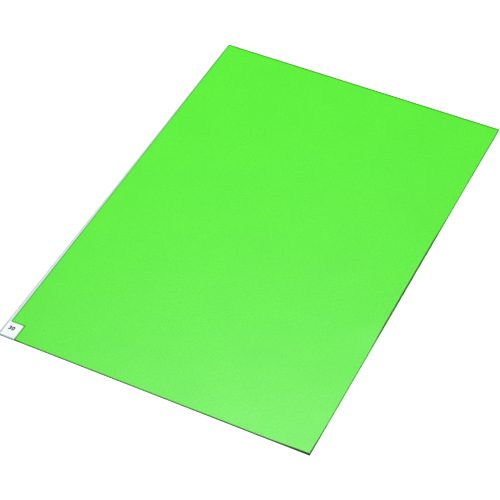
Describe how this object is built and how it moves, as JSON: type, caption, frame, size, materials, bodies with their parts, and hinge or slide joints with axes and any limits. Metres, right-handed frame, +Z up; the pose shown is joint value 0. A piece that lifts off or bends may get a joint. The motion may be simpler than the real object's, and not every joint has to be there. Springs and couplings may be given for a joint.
{
  "type": "cleanroom sticky mat",
  "caption": "Peel-off adhesive floor mat: a flat stack of green films with a white number tab in one corner, on a pale release liner.",
  "frame": {"origin": "on the floor, under the middle of the stack of sheets", "axes": "+Z up out of the walking face, +Y along the long side away from the number tab, +X along the short side away from the number tab"},
  "size_m": [0.6082, 0.9, 0.0019],
  "materials": {
    "green_film": "satin",
    "white_tab": "matte",
    "release_paper": "satin"
  },
  "bodies": {
    "root": {"release_liner": "release_paper", "sheet_01": "green_film", "sheet_02": "green_film", "sheet_03": "green_film", "sheet_04": "green_film", "sheet_05": "green_film", "sheet_06": "green_film", "sheet_07": "green_film", "sheet_08": "green_film", "sheet_09": "green_film", "sheet_10": "green_film", "sheet_11": "green_film", "sheet_12": "green_film", "sheet_13": "green_film", "sheet_14": "green_film", "sheet_15": "green_film", "sheet_16": "green_film", "sheet_17": "green_film", "sheet_18": "green_film", "sheet_19": "green_film", "sheet_20": "green_film", "sheet_21": "green_film", "sheet_22": "green_film", "sheet_23": "green_film", "sheet_24": "green_film", "sheet_25": "green_film", "sheet_26": "green_film", "sheet_27": "green_film", "sheet_28": "green_film", "sheet_29": "green_film", "sheet_30": "green_film", "number_tab_top": "white_tab", "number_tabs_below": "white_tab"}
  },
  "joints": []
}
